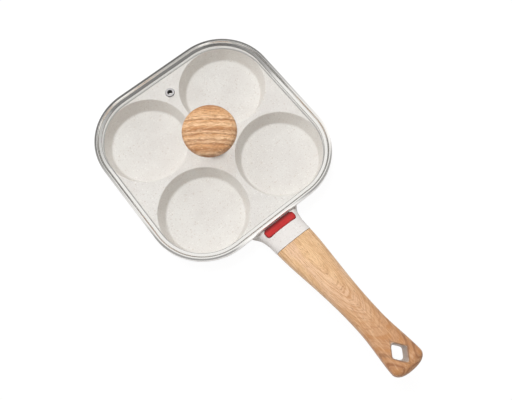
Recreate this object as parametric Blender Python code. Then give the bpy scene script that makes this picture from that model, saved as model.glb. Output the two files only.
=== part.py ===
"""Divided breakfast pan: a square cast pan with four round cups, a wood-look handle and a flat glass lid.

The pan stands on z = 0 with its centre on the Z axis, and the handle points along +X.
Pieces that touch keep a gap of FIT.
"""

import math

import bmesh
import bpy
from mathutils import Matrix, Vector

MM = 0.001

# Gap kept between pieces that touch
FIT = 0.3 * MM

# Pan casting
CUP_RADIUS = 43.4 * MM
CUP_DRAFT = 4.1 * MM
CUP_DEPTH = 16.1 * MM
CUP_LIP = 1.1 * MM
CUP_FILLET = 2.4 * MM
FLOOR_THICKNESS = 3.5 * MM
CUP_WALL = 3.4 * MM
BRIDGE = 3.6 * MM
LEDGE = 3.7 * MM
RIM_WALL = 3.0 * MM
RIM_HEIGHT = 6.5 * MM
RIM_ROUND = 1.0 * MM
RIM_INNER_ROUND = 0.6 * MM
CORNER_EASE = 4.6 * MM
WALL_DRAFT = 4.9 * MM
FOOT_ROUND = 4.0 * MM
SKIRT_WALL = 4.2 * MM
SKIRT_DRAFT = 0.8 * MM
LAND_THICKNESS = 4.2 * MM
HUB_RADIUS = 11.0 * MM
DIMPLE_RADIUS = 10.0 * MM
DIMPLE_DEPTH = 2.8 * MM

# Handle: the tongue, bracket and grip start along one sloping line
TONGUE_BURIED = 7.0 * MM
TONGUE_BELOW_RIM = 13.9 * MM
HANDLE_SLOPE = math.radians(21.0)
TONGUE_WIDTH = 20.0 * MM
TONGUE_THICKNESS = 6.0 * MM
TONGUE_IN_GRIP = 20.7 * MM
TONGUE_CHAMFER = 0.8 * MM
BRACKET_LENGTH = 25.0 * MM
BRACKET_HALF_WIDTH = 19.2 * MM
BRACKET_HALF_THICKNESS = 9.3 * MM
BRACKET_SWELL = 0.5 * MM
FLARE = 7.6 * MM
FLARE_LENGTH = 8.0 * MM

# Red inset in the bracket's top
INSET_START = 1.3 * MM
INSET_WIDTH = 7.2 * MM
INSET_LENGTH = 33.5 * MM
INSET_POCKET_DEPTH = 2.4 * MM
INSET_SUNK = 0.9 * MM

# Grip
GRIP_LENGTH = 142.0 * MM
GRIP_RISE = 42.5 * MM
WAIST_FROM_SEAM = 94.5 * MM
WAIST_HALF_WIDTH = 12.2 * MM
TAIL_HALF_WIDTH = 15.2 * MM
WAIST_HALF_THICKNESS = 8.0 * MM
TAIL_HALF_THICKNESS = 7.2 * MM
END_CAP = 8.0 * MM
HANG_HOLE_FROM_END = 16.2 * MM
HANG_HOLE_LENGTH = 19.0 * MM
HANG_HOLE_WIDTH = 14.4 * MM
HANG_HOLE_CORNER = 2.6 * MM
HANG_HOLE_CHAMFER = 0.7 * MM
WAIST_EASE = 0.8
END_CAP_POWER = 2.4
SECTION_POWER = 2.9

# Handle screw and the insert it enters
SCREW_FROM_SEAM = 11.4 * MM
SCREW_SHANK_RADIUS = 1.95 * MM
SCREW_HEAD_RADIUS = 4.0 * MM
SCREW_HEAD_HEIGHT = 2.2 * MM
WASHER_RADIUS = 3.8 * MM
WASHER_THICKNESS = 0.8 * MM
SCREW_SEAT = 2.2 * MM
INSERT_RADIUS = 3.4 * MM
SCREW_CHAMFER = 0.6 * MM
RECESS_WIDTH = 1.0 * MM
RECESS_DEPTH = 1.1 * MM
RECESS_SHARE = 0.6

# Lid: the rim is a rolled steel ring with a bead that rests on the pan's rim
LID_SET_BACK = 0.2 * MM
SHEET = 0.6 * MM
BEAD_WIDTH = 3.9 * MM
BEAD_HEIGHT = 3.8 * MM
BEAD_SIDE = 1.4 * MM
WEB_CLEARANCE = 0.9 * MM
GLASS_THICKNESS = 4.0 * MM
GLASS_ABOVE_LAND = 3.0 * MM
GLASS_ARRIS = 0.6 * MM
LIP_UPPER = 2.6 * MM
LIP_LOWER = 3.2 * MM
VENT_FROM_EDGE = 27.3 * MM
VENT_BORE = 2.2 * MM
VENT_BARREL = 3.2 * MM
VENT_FLANGE = 4.8 * MM
VENT_FLANGE_HEIGHT = 1.0 * MM
VENT_FLANGE_ROUND = 0.5 * MM
VENT_CRIMP = 4.4 * MM
VENT_CRIMP_THICKNESS = 0.5 * MM

# Knob and its fastening
KNOB_RADIUS = 25.3 * MM
KNOB_FOOT_RADIUS = 12.0 * MM
KNOB_FOOT_HEIGHT = 2.2 * MM
KNOB_HEIGHT = 30.0 * MM
KNOB_SHOULDER = 22.5 * MM
KNOB_EDGE = 3.4 * MM
KNOB_CROWN = 2.6 * MM
COLLAR_RADIUS = 10.5 * MM
COLLAR_HEIGHT = 5.4 * MM
COLLAR_CHAMFER = 0.8 * MM
GASKET_RADIUS = 9.0 * MM
UNDER_GASKET_RADIUS = 8.1 * MM
GASKET_THICKNESS = 1.0 * MM
KNOB_WASHER_RADIUS = 7.5 * MM
KNOB_SCREW_RADIUS = 2.4 * MM
KNOB_SCREW_HEAD_RADIUS = 4.6 * MM
KNOB_SCREW_GRIP = 11.0 * MM
KNOB_INSERT_RADIUS = 4.2 * MM
KNOB_INSERT_LENGTH = 13.0 * MM

# How finely the round shapes are cut
CORNER_STEPS = 10
CUP_SEGMENTS = 48
KNOB_SEGMENTS = 40
ROUND_SEGMENTS = 32
SMALL_SEGMENTS = 20
SECTION_POINTS = 28
BRACKET_STATIONS = 18
GRIP_STATIONS = 22
KNOB_STATIONS = 6
PILL_STEPS = 8
HANG_HOLE_STEPS = 4
SMOOTH_ANGLE = math.radians(35)
CUT_PAST = 2.0 * MM
SAME_POINT = 0.01 * MM

# Sizes that follow from those above
LAND_Z = FLOOR_THICKNESS + CUP_DEPTH
RIM_TOP_Z = LAND_Z + RIM_HEIGHT
CUP_FLOOR_RADIUS = CUP_RADIUS - CUP_DRAFT
CUP_MOUTH = CUP_RADIUS + CUP_LIP
CUP_OFFSET = CUP_MOUTH + BRIDGE / 2
PAN_HALF = CUP_OFFSET + CUP_MOUTH + LEDGE + RIM_WALL
PAN_CORNER = CUP_MOUTH + LEDGE + RIM_WALL + CORNER_EASE
CUPS = [(sx * CUP_OFFSET, sy * CUP_OFFSET) for sx in (-1, 1) for sy in (-1, 1)]
VENT_X = LID_SET_BACK + VENT_FROM_EDGE - PAN_HALF
GLASS_LOW_Z = LAND_Z + GLASS_ABOVE_LAND
GLASS_TOP_Z = GLASS_LOW_Z + GLASS_THICKNESS
WEB_OUTER = PAN_HALF - RIM_WALL - WEB_CLEARANCE
WEB_INNER = WEB_OUTER - SHEET
GLASS_HALF = WEB_INNER - FIT
HOLE_RADIUS = KNOB_SCREW_RADIUS + FIT

TONGUE_ROOT_X = PAN_HALF - TONGUE_BURIED
TONGUE_ROOT_Z = RIM_TOP_Z - TONGUE_BELOW_RIM
SEAM_X = PAN_HALF + BRACKET_LENGTH
SEAM_Z = TONGUE_ROOT_Z + (SEAM_X - TONGUE_ROOT_X) * math.tan(HANDLE_SLOPE)
SEAM_REACH = (SEAM_X - TONGUE_ROOT_X) / math.cos(HANDLE_SLOPE)
TONGUE_LENGTH = SEAM_REACH + TONGUE_IN_GRIP
SCREW_REACH = SEAM_REACH + SCREW_FROM_SEAM
GRIP_END_X = SEAM_X + GRIP_LENGTH
WAIST_X = SEAM_X + WAIST_FROM_SEAM
HANG_HOLE_X = GRIP_END_X - HANG_HOLE_FROM_END
GRIP_BEND = (GRIP_LENGTH * math.tan(HANDLE_SLOPE) - GRIP_RISE) / GRIP_LENGTH ** 2

AXIS = Vector((math.cos(HANDLE_SLOPE), 0, math.sin(HANDLE_SLOPE)))
TONGUE_ROOT = Vector((TONGUE_ROOT_X, 0, TONGUE_ROOT_Z))


# Materials

def material(name, colour, roughness, metallic=0.0, alpha=1.0):
    mat = bpy.data.materials.new(name)
    mat.use_nodes = True
    shader = mat.node_tree.nodes["Principled BSDF"]
    shader.inputs["Base Color"].default_value = (*colour, 1.0)
    shader.inputs["Roughness"].default_value = roughness
    shader.inputs["Metallic"].default_value = metallic
    shader.inputs["Alpha"].default_value = alpha
    mat.diffuse_color = (*colour, alpha)
    return mat


# Building blocks

def to_object(bm, name, mat):
    """A mesh object from a bmesh, faces outwards, shaded smooth up to an angle."""
    bmesh.ops.recalc_face_normals(bm, faces=bm.faces)
    mesh = bpy.data.meshes.new(name)
    bm.to_mesh(mesh)
    bm.free()
    mesh.shade_smooth()
    mesh.set_sharp_from_angle(angle=SMOOTH_ANGLE)
    mesh.materials.append(mat)
    obj = bpy.data.objects.new(name, mesh)
    bpy.context.collection.objects.link(obj)
    return obj


def guide(obj):
    """Marks an object as a cutter: it shapes others and is no piece of the pan."""
    obj.hide_render = True
    obj.display_type = "WIRE"
    return obj


def carve(obj, cutter, operation="DIFFERENCE"):
    step = obj.modifiers.new(operation.lower() + "_" + cutter.name, "BOOLEAN")
    step.operation = operation
    step.solver = "EXACT"
    step.object = cutter
    return step


def loft(rings, closed_loop=False):
    """A closed body through rings of points: capped at both ends, or joined end to start."""
    bm = bmesh.new()
    rows = [[bm.verts.new(p) for p in ring] for ring in rings]
    count = len(rows[0])
    pairs = list(zip(rows, rows[1:]))
    if closed_loop:
        pairs.append((rows[-1], rows[0]))
    for low, high in pairs:
        for i in range(count):
            j = (i + 1) % count
            bm.faces.new((low[i], low[j], high[j], high[i]))
    if not closed_loop:
        bm.faces.new(rows[0])
        bm.faces.new(rows[-1])
    return bm


def rounded_square(half, corner, z, half_y=None, steps=CORNER_STEPS):
    """Points round a rounded square (or rectangle, with half_y) at height z."""
    half_y = half if half_y is None else half_y
    points = []
    for quarter, (sx, sy) in enumerate(((1, 1), (-1, 1), (-1, -1), (1, -1))):
        for step in range(steps + 1):
            angle = math.radians(90) * (quarter + step / steps)
            points.append(Vector((sx * (half - corner) + corner * math.cos(angle),
                                  sy * (half_y - corner) + corner * math.sin(angle), z)))
    return points


def arc(centre, radius_x, radius_z, degrees):
    """Points (x, z) on an ellipse's arc round a centre, one for each angle."""
    turns = [math.radians(angle) for angle in degrees]
    return [(centre[0] + radius_x * math.cos(a), centre[1] + radius_z * math.sin(a)) for a in turns]


def turned(profile, centre=(0.0, 0.0), segments=ROUND_SEGMENTS, closed_loop=False):
    """A body turned round a vertical axis from (r, z) points."""
    x, y = centre
    turn = [2 * math.pi * i / segments for i in range(segments)]
    rings = [[Vector((x + r * math.cos(a), y + r * math.sin(a), z)) for a in turn] for r, z in profile]
    return loft(rings, closed_loop)


def drill(radius, low, high, centre=(0.0, 0.0)):
    """The body that a round hole takes away."""
    return turned([(radius, low), (radius, high)], centre, SMALL_SEGMENTS)


def tube(outer, inner, low, high):
    """A washer or a sleeve."""
    profile = [(outer, low), (outer, high), (inner, high), (inner, low)]
    return turned(profile, segments=SMALL_SEGMENTS, closed_loop=True)


def along_axis(bm, reach, lift=0.0):
    """Moves a body made at the origin onto the handle's axis, reach along it and lift above it."""
    turn = Matrix.Rotation(-HANDLE_SLOPE, 4, "Y")
    place = Matrix.Translation(TONGUE_ROOT) @ turn @ Matrix.Translation((reach, 0, lift))
    bmesh.ops.transform(bm, matrix=place, verts=bm.verts)
    return bm


# Pan

def pan_side_profile(grow=0.0):
    """(inset, z) up the outside of the pan, from the flat under the foot to the rim's outer round."""
    radius = FOOT_ROUND + grow
    foot = arc((WALL_DRAFT + FOOT_ROUND, FOOT_ROUND), radius, radius, (270, 247, 225, 202, 180))
    return foot + [(-grow, RIM_TOP_Z - RIM_ROUND)]


def pan_ring(inset, z):
    return rounded_square(PAN_HALF - inset, PAN_CORNER - inset, z)


def cup_profile():
    """(r, z) of a cup's cutter, from its floor over the rounded lip to above the land."""
    floor_bend = (CUP_FLOOR_RADIUS - CUP_FILLET, FLOOR_THICKNESS + CUP_FILLET)
    floor = arc(floor_bend, CUP_FILLET, CUP_FILLET, (270, 295, 320, 345))
    lip = arc((CUP_MOUTH, LAND_Z - CUP_LIP), CUP_LIP, CUP_LIP, (180, 152, 125, 100))
    return floor + lip + [(CUP_MOUTH + CUP_LIP, LAND_Z + CUT_PAST)]


def make_pan(mat):
    outer, inner = RIM_ROUND, RIM_INNER_ROUND
    profile = pan_side_profile()
    profile += arc((outer, RIM_TOP_Z - outer), outer, outer, (135, 90))
    profile += arc((RIM_WALL - inner, RIM_TOP_Z - inner), inner, inner, (90, 0))
    profile += arc((RIM_WALL + outer, LAND_Z + outer), outer, outer, (180, 270))
    pan = to_object(loft([pan_ring(inset, z) for inset, z in profile]), "pan_body", mat)

    tongue = chamfered_bar(TONGUE_LENGTH, TONGUE_WIDTH / 2, TONGUE_THICKNESS / 2, TONGUE_CHAMFER)
    carve(pan, guide(to_object(along_axis(tongue, 0), "tongue_form", mat)), "UNION")
    insert_hole = drill(INSERT_RADIUS + FIT, -TONGUE_THICKNESS, TONGUE_THICKNESS)
    carve(pan, guide(to_object(along_axis(insert_hole, SCREW_REACH), "insert_hole", mat)))

    for number, centre in enumerate(CUPS):
        cup = turned(cup_profile(), centre, CUP_SEGMENTS)
        carve(pan, guide(to_object(cup, "cup_form_%d" % number, mat)))
    dimple = turned([(DIMPLE_RADIUS - DIMPLE_DEPTH / 2, LAND_Z - DIMPLE_DEPTH),
                     (DIMPLE_RADIUS, LAND_Z - DIMPLE_DEPTH / 2), (DIMPLE_RADIUS, LAND_Z + CUT_PAST)])
    carve(pan, guide(to_object(dimple, "dimple_form", mat)))
    carve(pan, make_underside_form(mat))
    return pan


def make_underside_form(mat):
    """The hollow under the land, between the cups, the skirt and the hub in the middle."""
    inset = WALL_DRAFT + SKIRT_WALL
    top = LAND_Z - LAND_THICKNESS
    hollow = to_object(loft([pan_ring(inset, -CUT_PAST), pan_ring(inset + SKIRT_DRAFT, top)]),
                       "underside_form", mat)
    slope = (CUP_RADIUS - CUP_FLOOR_RADIUS) / CUP_DEPTH
    low, high = -2 * CUT_PAST, LAND_Z
    for number, centre in enumerate(CUPS):
        jacket = turned([(CUP_FLOOR_RADIUS + CUP_WALL + slope * low, low),
                         (CUP_FLOOR_RADIUS + CUP_WALL + slope * high, high)], centre, CUP_SEGMENTS)
        carve(hollow, guide(to_object(jacket, "cup_jacket_%d" % number, mat)))
    hub = turned([(HUB_RADIUS, low), (HUB_RADIUS + SKIRT_DRAFT, high)])
    carve(hollow, guide(to_object(hub, "hub_form", mat)))
    return guide(hollow)


def chamfered_bar(length, half_width, half_thickness, chamfer):
    """A bar from the origin along +X, its long edges chamfered."""
    w, t, c = half_width, half_thickness, chamfer
    side = [(w - c, -t), (w, -t + c), (w, t - c), (w - c, t)]
    outline = side + [(-y, z) for y, z in reversed(side)]
    return loft([[Vector((x, y, z)) for y, z in outline] for x in (0.0, length)])


# Handle

def grip_height(x):
    """The centre height of the grip: it leaves the seam along the handle's slope and levels off."""
    run = x - SEAM_X
    return SEAM_Z + run * math.tan(HANDLE_SLOPE) - GRIP_BEND * run * max(run, 0.0)


def grip_slope(x):
    return math.atan(math.tan(HANDLE_SLOPE) - 2 * GRIP_BEND * max(x - SEAM_X, 0.0))


def blend(a, b, t):
    """Eases from a to b with no slope at either end."""
    t = min(max(t, 0.0), 1.0)
    return a + (b - a) * (0.5 - 0.5 * math.cos(math.pi * t))


def grip_half_width(x):
    if x < WAIST_X:
        run = max(x - SEAM_X, 0.0) / (WAIST_X - SEAM_X)
        return blend(BRACKET_HALF_WIDTH, WAIST_HALF_WIDTH, run ** WAIST_EASE)
    return blend(WAIST_HALF_WIDTH, TAIL_HALF_WIDTH, (x - WAIST_X) / (GRIP_END_X - END_CAP / 2 - WAIST_X))


def grip_half_thickness(x):
    if x < WAIST_X:
        return blend(BRACKET_HALF_THICKNESS, WAIST_HALF_THICKNESS, (x - SEAM_X) / (WAIST_X - SEAM_X))
    return blend(WAIST_HALF_THICKNESS, TAIL_HALF_THICKNESS, (x - WAIST_X) / (GRIP_END_X - WAIST_X))


def section(half_width, half_thickness, centre, slope):
    """A rounded section across the handle, square to its slope."""
    points = []
    for i in range(SECTION_POINTS):
        angle = 2 * math.pi * (i + 0.5) / SECTION_POINTS
        c, s = math.cos(angle), math.sin(angle)
        across = half_width * math.copysign(abs(c) ** (2 / SECTION_POWER), c)
        up = half_thickness * math.copysign(abs(s) ** (2 / SECTION_POWER), s)
        points.append(centre + Vector((-up * math.sin(slope), across, up * math.cos(slope))))
    return points


def cut_upright(bm, x, towards):
    """Cuts off what lies past the upright plane at x, towards +X (1) or -X (-1), and caps the cut."""
    normal = Vector((towards, 0, 0))
    geometry = bm.verts[:] + bm.edges[:] + bm.faces[:]
    cut = bmesh.ops.bisect_plane(bm, geom=geometry, plane_co=(x, 0, 0), plane_no=normal, clear_outer=True)
    edges = [e for e in cut["geom_cut"] if isinstance(e, bmesh.types.BMEdge)]
    bmesh.ops.edgeloop_fill(bm, edges=edges)
    return bm


def make_bracket(mat):
    rings = []
    wall = (PAN_HALF - WALL_DRAFT / 2 - TONGUE_ROOT_X) / math.cos(HANDLE_SLOPE)
    start, end = -CUT_PAST, SEAM_REACH + BRACKET_HALF_THICKNESS
    for step in range(BRACKET_STATIONS + 1):
        reach = start + (end - start) * step / BRACKET_STATIONS
        fall = math.exp(-max(reach - wall, 0.0) / FLARE_LENGTH)
        rings.append(section(BRACKET_HALF_WIDTH + FLARE * fall, BRACKET_HALF_THICKNESS + BRACKET_SWELL * fall,
                             TONGUE_ROOT + AXIS * reach, HANDLE_SLOPE))
    bracket = to_object(cut_upright(loft(rings), SEAM_X, 1), "handle_bracket", mat)

    beside = [pan_ring(inset, z) for inset, z in pan_side_profile(FIT)]
    beside += [pan_ring(-FIT, RIM_TOP_Z + CUT_PAST)]
    carve(bracket, guide(to_object(loft(beside), "pan_clearance", mat)))
    carve(bracket, tongue_clearance("bracket_bore", mat))
    carve(bracket, make_inset_form(mat))
    return bracket


def tongue_clearance(name, mat):
    bar = chamfered_bar(TONGUE_LENGTH + 2 * FIT, TONGUE_WIDTH / 2 + FIT, TONGUE_THICKNESS / 2 + FIT,
                        TONGUE_CHAMFER)
    return guide(to_object(along_axis(bar, -FIT), name, mat))


def inset_reach():
    """Where the inset's middle lies along the handle's axis, from where the bracket's top meets the pan."""
    along = (PAN_HALF - TONGUE_ROOT_X) / math.cos(HANDLE_SLOPE)
    along += BRACKET_HALF_THICKNESS * math.tan(HANDLE_SLOPE)
    return along + INSET_START + INSET_WIDTH / 2


def pill(half_length, half_width, low, high):
    rings = [rounded_square(half_width, half_width, z, half_length, PILL_STEPS) for z in (low, high)]
    return loft([merge_near(ring) for ring in rings])


def merge_near(ring):
    """Drops points that repeat the one before, as a pill's straight ends leave."""
    return [p for i, p in enumerate(ring) if (p - ring[i - 1]).length > SAME_POINT]


def make_inset_form(mat):
    body = pill(INSET_LENGTH / 2 + FIT, INSET_WIDTH / 2 + FIT, BRACKET_HALF_THICKNESS - INSET_POCKET_DEPTH,
                BRACKET_HALF_THICKNESS + CUT_PAST)
    return guide(to_object(along_axis(body, inset_reach()), "inset_form", mat))


def make_inset(mat):
    body = pill(INSET_LENGTH / 2, INSET_WIDTH / 2, BRACKET_HALF_THICKNESS - INSET_POCKET_DEPTH + FIT,
                BRACKET_HALF_THICKNESS - INSET_SUNK)
    return to_object(along_axis(body, inset_reach()), "bracket_inset", mat)


def hang_hole_ring(height, grow=0.0):
    """A rhombus with round corners, its long diagonal along the handle, raised above the grip's middle."""
    rise = math.tan(grip_slope(HANG_HOLE_X))
    half_l, half_w = HANG_HOLE_LENGTH / 2 + grow, HANG_HOLE_WIDTH / 2 + grow
    corners = [Vector((half_l, 0)), Vector((0, half_w)), Vector((-half_l, 0)), Vector((0, -half_w))]
    points = []
    for i, corner in enumerate(corners):
        before = (corners[i - 1] - corner).normalized()
        after = (corners[(i + 1) % 4] - corner).normalized()
        half_angle = before.angle(after) / 2
        centre = corner + (before + after).normalized() * HANG_HOLE_CORNER / math.sin(half_angle)
        first = centre + Vector((-before.y, before.x)) * HANG_HOLE_CORNER
        last = centre + Vector((after.y, -after.x)) * HANG_HOLE_CORNER
        for step in range(HANG_HOLE_STEPS + 1):
            point = first.lerp(last, step / HANG_HOLE_STEPS) - centre
            point = centre + point.normalized() * HANG_HOLE_CORNER
            level = grip_height(HANG_HOLE_X) + rise * point.x + height
            points.append(Vector((HANG_HOLE_X + point.x, point.y, level)))
    return points


def make_grip(mat):
    rings = []
    start = SEAM_X - BRACKET_HALF_THICKNESS
    body_end = GRIP_END_X - END_CAP
    stations = [start + (body_end - start) * i / GRIP_STATIONS for i in range(GRIP_STATIONS + 1)]
    stations += [body_end + END_CAP * math.sin(math.radians(a)) for a in (18, 34, 48, 60, 70, 78, 85)]
    for x in stations:
        cap = max(x - body_end, 0.0) / END_CAP
        shrink = (1 - cap ** END_CAP_POWER) ** (1 / END_CAP_POWER)
        rings.append(section(grip_half_width(x) * shrink, grip_half_thickness(x) * shrink,
                             Vector((x, 0, grip_height(x))), grip_slope(x)))
    grip = to_object(cut_upright(loft(rings), SEAM_X + FIT, -1), "handle_grip", mat)

    carve(grip, tongue_clearance("grip_socket", mat))
    face = grip_half_thickness(HANG_HOLE_X) / math.cos(grip_slope(HANG_HOLE_X))
    bevel = HANG_HOLE_CHAMFER
    steps = [(face + CUT_PAST, bevel + CUT_PAST), (face - bevel, 0.0)]
    rings = [hang_hole_ring(-height, grow) for height, grow in steps]
    rings += [hang_hole_ring(height, grow) for height, grow in reversed(steps)]
    carve(grip, guide(to_object(loft(rings), "hang_hole_form", mat)))

    socket = TONGUE_THICKNESS / 2 + FIT
    seat = -(socket + SCREW_SEAT)
    wide, narrow = SCREW_HEAD_RADIUS + 2 * FIT, SCREW_SHANK_RADIUS + FIT
    bore = turned([(wide, -3 * BRACKET_HALF_THICKNESS), (wide, seat), (narrow, seat), (narrow, 0.0)],
                  segments=SMALL_SEGMENTS)
    carve(grip, guide(to_object(along_axis(bore, SCREW_REACH), "screw_bore", mat)))
    return grip


def make_screw(name, mat, shank_radius, shank_high, head_radius, head_high, place):
    """A screw, head down, with a cross recess, made round the Z axis and then moved by place."""
    head_low = head_high - SCREW_HEAD_HEIGHT
    chamfer = SCREW_CHAMFER
    profile = [(head_radius - chamfer, head_low), (head_radius, head_low + chamfer),
               (head_radius, head_high), (shank_radius, head_high),
               (shank_radius, shank_high - chamfer), (shank_radius - chamfer, shank_high)]
    screw = to_object(place(turned(profile, segments=SMALL_SEGMENTS)), name, mat)
    arm, half = head_radius * RECESS_SHARE, RECESS_WIDTH / 2
    for number, (half_x, half_y) in enumerate(((arm, half), (half, arm))):
        slot = loft([rounded_square(half_x, half / 2, z, half_y, 2)
                     for z in (head_low - CUT_PAST, head_low + RECESS_DEPTH)])
        carve(screw, guide(to_object(place(slot), "%s_recess_%d" % (name, number), mat)))
    return screw


def make_handle_fastening(steel):
    def on_axis(bm):
        return along_axis(bm, SCREW_REACH)

    seat = -(TONGUE_THICKNESS / 2 + FIT + SCREW_SEAT)
    washer = tube(WASHER_RADIUS, SCREW_SHANK_RADIUS + FIT, seat - FIT - WASHER_THICKNESS, seat - FIT)
    to_object(on_axis(washer), "handle_washer", steel)
    head_high = seat - 2 * FIT - WASHER_THICKNESS
    half = TONGUE_THICKNESS / 2
    make_screw("handle_screw", steel, SCREW_SHANK_RADIUS, half - FIT, SCREW_HEAD_RADIUS, head_high, on_axis)
    insert = tube(INSERT_RADIUS, SCREW_SHANK_RADIUS + FIT, -half, half)
    to_object(on_axis(insert), "tongue_insert", steel)


# Lid

def ring_section():
    """(inset, z) round the steel ring's section: bead, web, lower lip, glass groove and upper lip."""
    half = SHEET / 2
    seat = RIM_TOP_Z + FIT
    web_out = PAN_HALF - WEB_OUTER
    web_in = PAN_HALF - WEB_INNER
    above_glass = GLASS_TOP_Z + FIT
    below_glass = GLASS_LOW_Z - FIT
    upper = PAN_HALF - GLASS_HALF + LIP_UPPER - half
    lower = PAN_HALF - GLASS_HALF + LIP_LOWER - half
    foot = [(LID_SET_BACK + half, seat), (LID_SET_BACK, seat + half)]
    bead = arc((LID_SET_BACK + BEAD_WIDTH / 2, seat + BEAD_SIDE), BEAD_WIDTH / 2, BEAD_HEIGHT - BEAD_SIDE,
               (180, 150, 120, 90, 60, 35))
    upper_lip = arc((upper, above_glass + half), half, half, (90, 0, 270))
    lower_lip = arc((lower, below_glass - half), half, half, (90, 0, 270))
    groove = [(web_in, above_glass), (web_in, below_glass)]
    web = [(web_out, below_glass - half), (web_out, seat)]
    return foot + bead + upper_lip + groove + lower_lip + web


def make_lid_rim(mat):
    rings = [rounded_square(PAN_HALF - inset, PAN_CORNER - inset, z) for inset, z in ring_section()]
    return to_object(loft(rings, closed_loop=True), "lid_rim", mat)


def make_lid_glass(mat):
    corner = PAN_CORNER - (PAN_HALF - GLASS_HALF)
    steps = [(GLASS_ARRIS, GLASS_LOW_Z), (0.0, GLASS_LOW_Z + GLASS_ARRIS), (0.0, GLASS_TOP_Z - GLASS_ARRIS),
             (GLASS_ARRIS, GLASS_TOP_Z)]
    glass = to_object(loft([rounded_square(GLASS_HALF - inset, corner - inset, z) for inset, z in steps]),
                      "lid_glass", mat)
    low, high = GLASS_LOW_Z - CUT_PAST, GLASS_TOP_Z + CUT_PAST
    carve(glass, guide(to_object(drill(HOLE_RADIUS, low, high), "knob_hole", mat)))
    vent_hole = drill(VENT_BARREL + FIT, low, high, (VENT_X, 0))
    carve(glass, guide(to_object(vent_hole, "vent_hole", mat)))
    return glass


def make_vent(mat):
    low, high = GLASS_LOW_Z - FIT, GLASS_TOP_Z + FIT
    r = VENT_FLANGE_ROUND
    top = high + VENT_FLANGE_HEIGHT - r
    flange = [(VENT_BARREL, low), (VENT_BARREL, high), (VENT_FLANGE, high)]
    edge = arc((VENT_FLANGE - r, top), r, r, (0, 45, 90)) + arc((VENT_BORE + r, top), r, r, (90, 135, 180))
    bottom = low - VENT_CRIMP_THICKNESS
    crimp = [(VENT_BORE, bottom), (VENT_CRIMP, bottom), (VENT_CRIMP, low)]
    eyelet = turned(flange + edge + crimp, (VENT_X, 0), SMALL_SEGMENTS, closed_loop=True)
    return to_object(eyelet, "vent_eyelet", mat)


def knob_outline(low):
    """(r, z) up the knob: a short foot, a flare to the widest ring, a round edge and a low crown."""
    foot_top = low + KNOB_FOOT_HEIGHT
    widest = low + KNOB_SHOULDER
    crown = low + KNOB_HEIGHT - KNOB_CROWN
    shoulder = KNOB_RADIUS - KNOB_EDGE
    outline = [(KNOB_FOOT_RADIUS, low)]
    for step in range(KNOB_STATIONS + 1):
        t = step / KNOB_STATIONS
        outline.append((blend(KNOB_FOOT_RADIUS, KNOB_RADIUS, t), foot_top + (widest - foot_top) * t))
    outline += arc((shoulder, widest), KNOB_EDGE, crown - widest, (22, 44, 66))
    return outline + arc((0.0, crown), shoulder, KNOB_CROWN, (10, 30, 50, 70, 84))


def make_knob_stack(steel, rubber, wood, brass):
    bore = HOLE_RADIUS
    level = GLASS_TOP_Z + FIT
    to_object(tube(GASKET_RADIUS, bore, level, level + GASKET_THICKNESS), "knob_gasket_top", rubber)
    level += GASKET_THICKNESS + FIT
    collar_top = level + COLLAR_HEIGHT
    collar = [(COLLAR_RADIUS, level), (COLLAR_RADIUS, collar_top - COLLAR_CHAMFER),
              (COLLAR_RADIUS - COLLAR_CHAMFER, collar_top), (bore, collar_top), (bore, level)]
    to_object(turned(collar, closed_loop=True), "knob_collar", steel)

    knob_low = collar_top + FIT
    knob = to_object(turned(knob_outline(knob_low), segments=KNOB_SEGMENTS), "knob", wood)
    hole = drill(KNOB_INSERT_RADIUS + FIT, knob_low - CUT_PAST, knob_low + KNOB_INSERT_LENGTH + FIT)
    carve(knob, guide(to_object(hole, "knob_bore", wood)))
    to_object(tube(KNOB_INSERT_RADIUS, bore, knob_low, knob_low + KNOB_INSERT_LENGTH), "knob_insert", brass)

    level = GLASS_LOW_Z - FIT
    under = tube(UNDER_GASKET_RADIUS, bore, level - GASKET_THICKNESS, level)
    to_object(under, "knob_gasket_under", rubber)
    level -= GASKET_THICKNESS + FIT
    to_object(tube(KNOB_WASHER_RADIUS, bore, level - WASHER_THICKNESS, level), "knob_washer", steel)
    level -= WASHER_THICKNESS + FIT
    make_screw("knob_screw", steel, KNOB_SCREW_RADIUS, knob_low + KNOB_SCREW_GRIP, KNOB_SCREW_HEAD_RADIUS,
               level, lambda bm: bm)


def main():
    for obj in list(bpy.data.objects):
        bpy.data.objects.remove(obj)
    coating = material("speckled_coating", (0.78, 0.76, 0.72), 0.42)
    steel = material("stainless_steel", (0.68, 0.68, 0.66), 0.18, 1.0)
    glass = material("tempered_glass", (0.92, 0.95, 0.94), 0.04, 0.0, 0.35)
    grip_wood = material("wood_look_grip", (0.72, 0.45, 0.24), 0.45)
    knob_wood = material("wood_look_knob", (0.80, 0.52, 0.28), 0.5)
    red = material("red_silicone", (0.58, 0.03, 0.03), 0.5)
    rubber = material("clear_silicone", (0.75, 0.75, 0.73), 0.6)
    brass = material("brass", (0.75, 0.58, 0.28), 0.3, 1.0)

    make_pan(coating)
    make_bracket(coating)
    make_inset(red)
    make_grip(grip_wood)
    make_handle_fastening(steel)
    make_lid_rim(steel)
    make_lid_glass(glass)
    make_vent(steel)
    make_knob_stack(steel, rubber, knob_wood, brass)


main()
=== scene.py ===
"""Divided breakfast pan: the finished look of every piece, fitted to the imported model.

The pan stands on z = 0, its centre is on the Z axis and its handle points along +X.
"""

import math
from contextlib import contextmanager

import bmesh
import bpy
from mathutils import Matrix, Vector


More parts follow.
